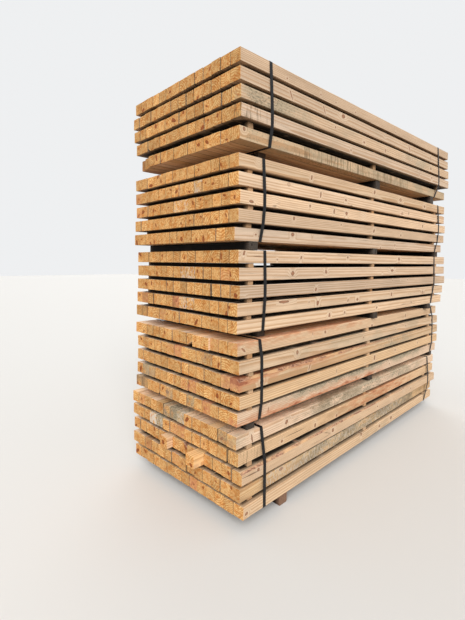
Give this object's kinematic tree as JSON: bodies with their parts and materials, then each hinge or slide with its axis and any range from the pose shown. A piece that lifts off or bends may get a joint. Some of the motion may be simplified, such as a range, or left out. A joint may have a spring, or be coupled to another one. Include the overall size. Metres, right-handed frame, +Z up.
{
  "type": "stack of lumber",
  "caption": "Yard stack of square sawn softwood posts in strapped packs, with thin stickers between courses and bearers between packs.",
  "frame": {"origin": "on the ground, below the middle of the whole stack", "axes": "+X along the posts, -X the end with the long view of the end grain, +Z up"},
  "size_m": [3.1056, 1.2608, 2.6917],
  "materials": {
    "sawn_post": "sawn, unplaned",
    "sticker": "sawn, weathered",
    "bearer": "grey and weathered",
    "ground_bearer": "damp and brown",
    "strap": "black woven band"
  },
  "bodies": {
    "root": {"bearers_below_pack_1": "bearer", "bearers_below_pack_2": "bearer", "bearers_below_pack_3": "bearer", "bearers_below_pack_4": "bearer", "ground_bearers": "ground_bearer", "pack_1_course_1": "sawn_post", "pack_1_course_2": "sawn_post", "pack_1_course_3": "sawn_post", "pack_1_course_4": "sawn_post", "pack_1_course_5": "sawn_post", "pack_1_far_strap": "strap", "pack_1_near_strap": "strap", "pack_1_stickers": "sticker", "pack_2_course_1": "sawn_post", "pack_2_course_2": "sawn_post", "pack_2_course_3": "sawn_post", "pack_2_course_4": "sawn_post", "pack_2_course_5": "sawn_post", "pack_2_far_strap": "strap", "pack_2_near_strap": "strap", "pack_2_stickers": "sticker", "pack_3_course_1": "sawn_post", "pack_3_course_2": "sawn_post", "pack_3_course_3": "sawn_post", "pack_3_course_4": "sawn_post", "pack_3_course_5": "sawn_post", "pack_3_far_strap": "strap", "pack_3_near_strap": "strap", "pack_3_stickers": "sticker", "pack_4_course_1": "sawn_post", "pack_4_course_2": "sawn_post", "pack_4_course_3": "sawn_post", "pack_4_course_4": "sawn_post", "pack_4_course_5": "sawn_post", "pack_4_far_strap": "strap", "pack_4_near_strap": "strap", "pack_4_stickers": "sticker", "pack_5_course_1": "sawn_post", "pack_5_course_2": "sawn_post", "pack_5_course_3": "sawn_post", "pack_5_course_4": "sawn_post", "pack_5_course_5": "sawn_post", "pack_5_far_strap": "strap", "pack_5_near_strap": "strap", "pack_5_stickers": "sticker"}
  },
  "joints": []
}
